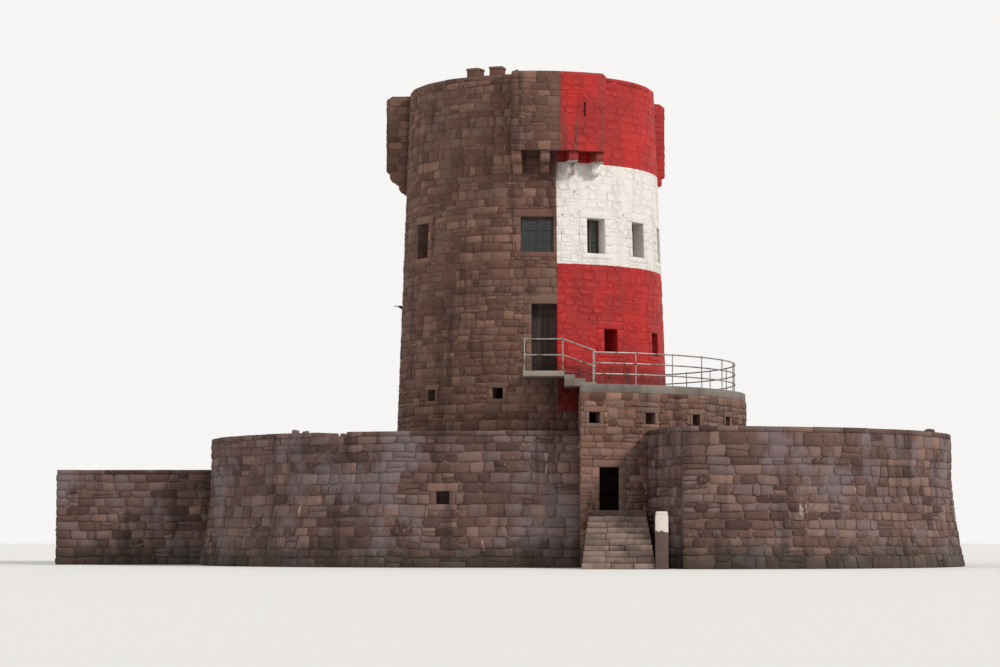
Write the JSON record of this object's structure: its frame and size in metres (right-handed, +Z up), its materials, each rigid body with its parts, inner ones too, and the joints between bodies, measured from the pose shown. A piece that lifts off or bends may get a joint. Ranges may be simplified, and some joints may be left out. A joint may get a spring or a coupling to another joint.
{
  "type": "coastal round gun tower",
  "caption": "Hollow tapered round masonry tower with parapet, machicolations, painted bands, a curved annex with railings, and a two-lobed battery wall with a stepped gateway.",
  "frame": {"origin": "on the tower's vertical axis, at the level where the walls meet the ground", "axes": "+Z up along the tower's axis, +Y from the entrance front towards the back, +X towards the painted side"},
  "size_m": [34.86, 25.16, 18.49],
  "materials": {
    "bare_granite": "rough coursed rubble, lichen and damp",
    "painted_granite": "rubble under weathered red and white paint",
    "annex_granite": "rough rubble with wide pale joints",
    "battery_granite": "rough battered rubble, dark and salt stained",
    "step_granite": "worn dressed stone",
    "deck_paving": "worn rough paving",
    "concrete": "weathered cement",
    "floor_boards": "old bare boards",
    "door_timber": "dark weathered planks",
    "frame_timber": "dark weathered paint",
    "window_glass": "salt hazed glass",
    "galvanised_rail": "dull galvanised tube",
    "dark_iron": "rusty iron",
    "white_post": "chipped white masonry paint"
  },
  "bodies": {
    "root": {"shaft_wall_1": "bare_granite", "shaft_wall_2": "painted_granite", "shaft_wall_3": "painted_granite", "shaft_wall_4": "painted_granite", "shaft_wall_5": "bare_granite", "shaft_wall_6": "bare_granite", "shaft_wall_7": "bare_granite", "tower_footing": "bare_granite", "first_floor": "floor_boards", "second_floor": "floor_boards", "roof_deck": "concrete", "parapet_1": "painted_granite", "parapet_2": "bare_granite", "parapet_3": "bare_granite", "machicolation_1": "bare_granite", "machicolation_2": "painted_granite", "machicolation_3": "bare_granite", "corbels": "bare_granite", "chimney_stacks": "bare_granite", "roof_vent": "dark_iron", "entrance_door": "door_timber", "window_frames": "frame_timber", "window_glass": "window_glass", "entrance_landing": "concrete", "landing_steps": "concrete", "landing_railing": "galvanised_rail", "annex_wall_1": "annex_granite", "annex_wall_2": "annex_granite", "annex_wall_3": "annex_granite", "annex_end_front": "annex_granite", "annex_end_back": "annex_granite", "annex_floor": "annex_granite", "annex_roof": "concrete", "annex_railing": "galvanised_rail", "battery_left_1": "battery_granite", "battery_left_2": "battery_granite", "battery_left_3": "battery_granite", "battery_left_4": "battery_granite", "battery_front": "battery_granite", "battery_right_1": "battery_granite", "battery_right_2": "battery_granite", "battery_right_3": "battery_granite", "gateway_return": "battery_granite", "battery_fill_left": "deck_paving", "battery_fill_right": "deck_paving", "gateway_steps": "step_granite", "gate_post": "white_post", "approach_wall": "battery_granite", "wall_bracket": "dark_iron"}
  },
  "joints": []
}
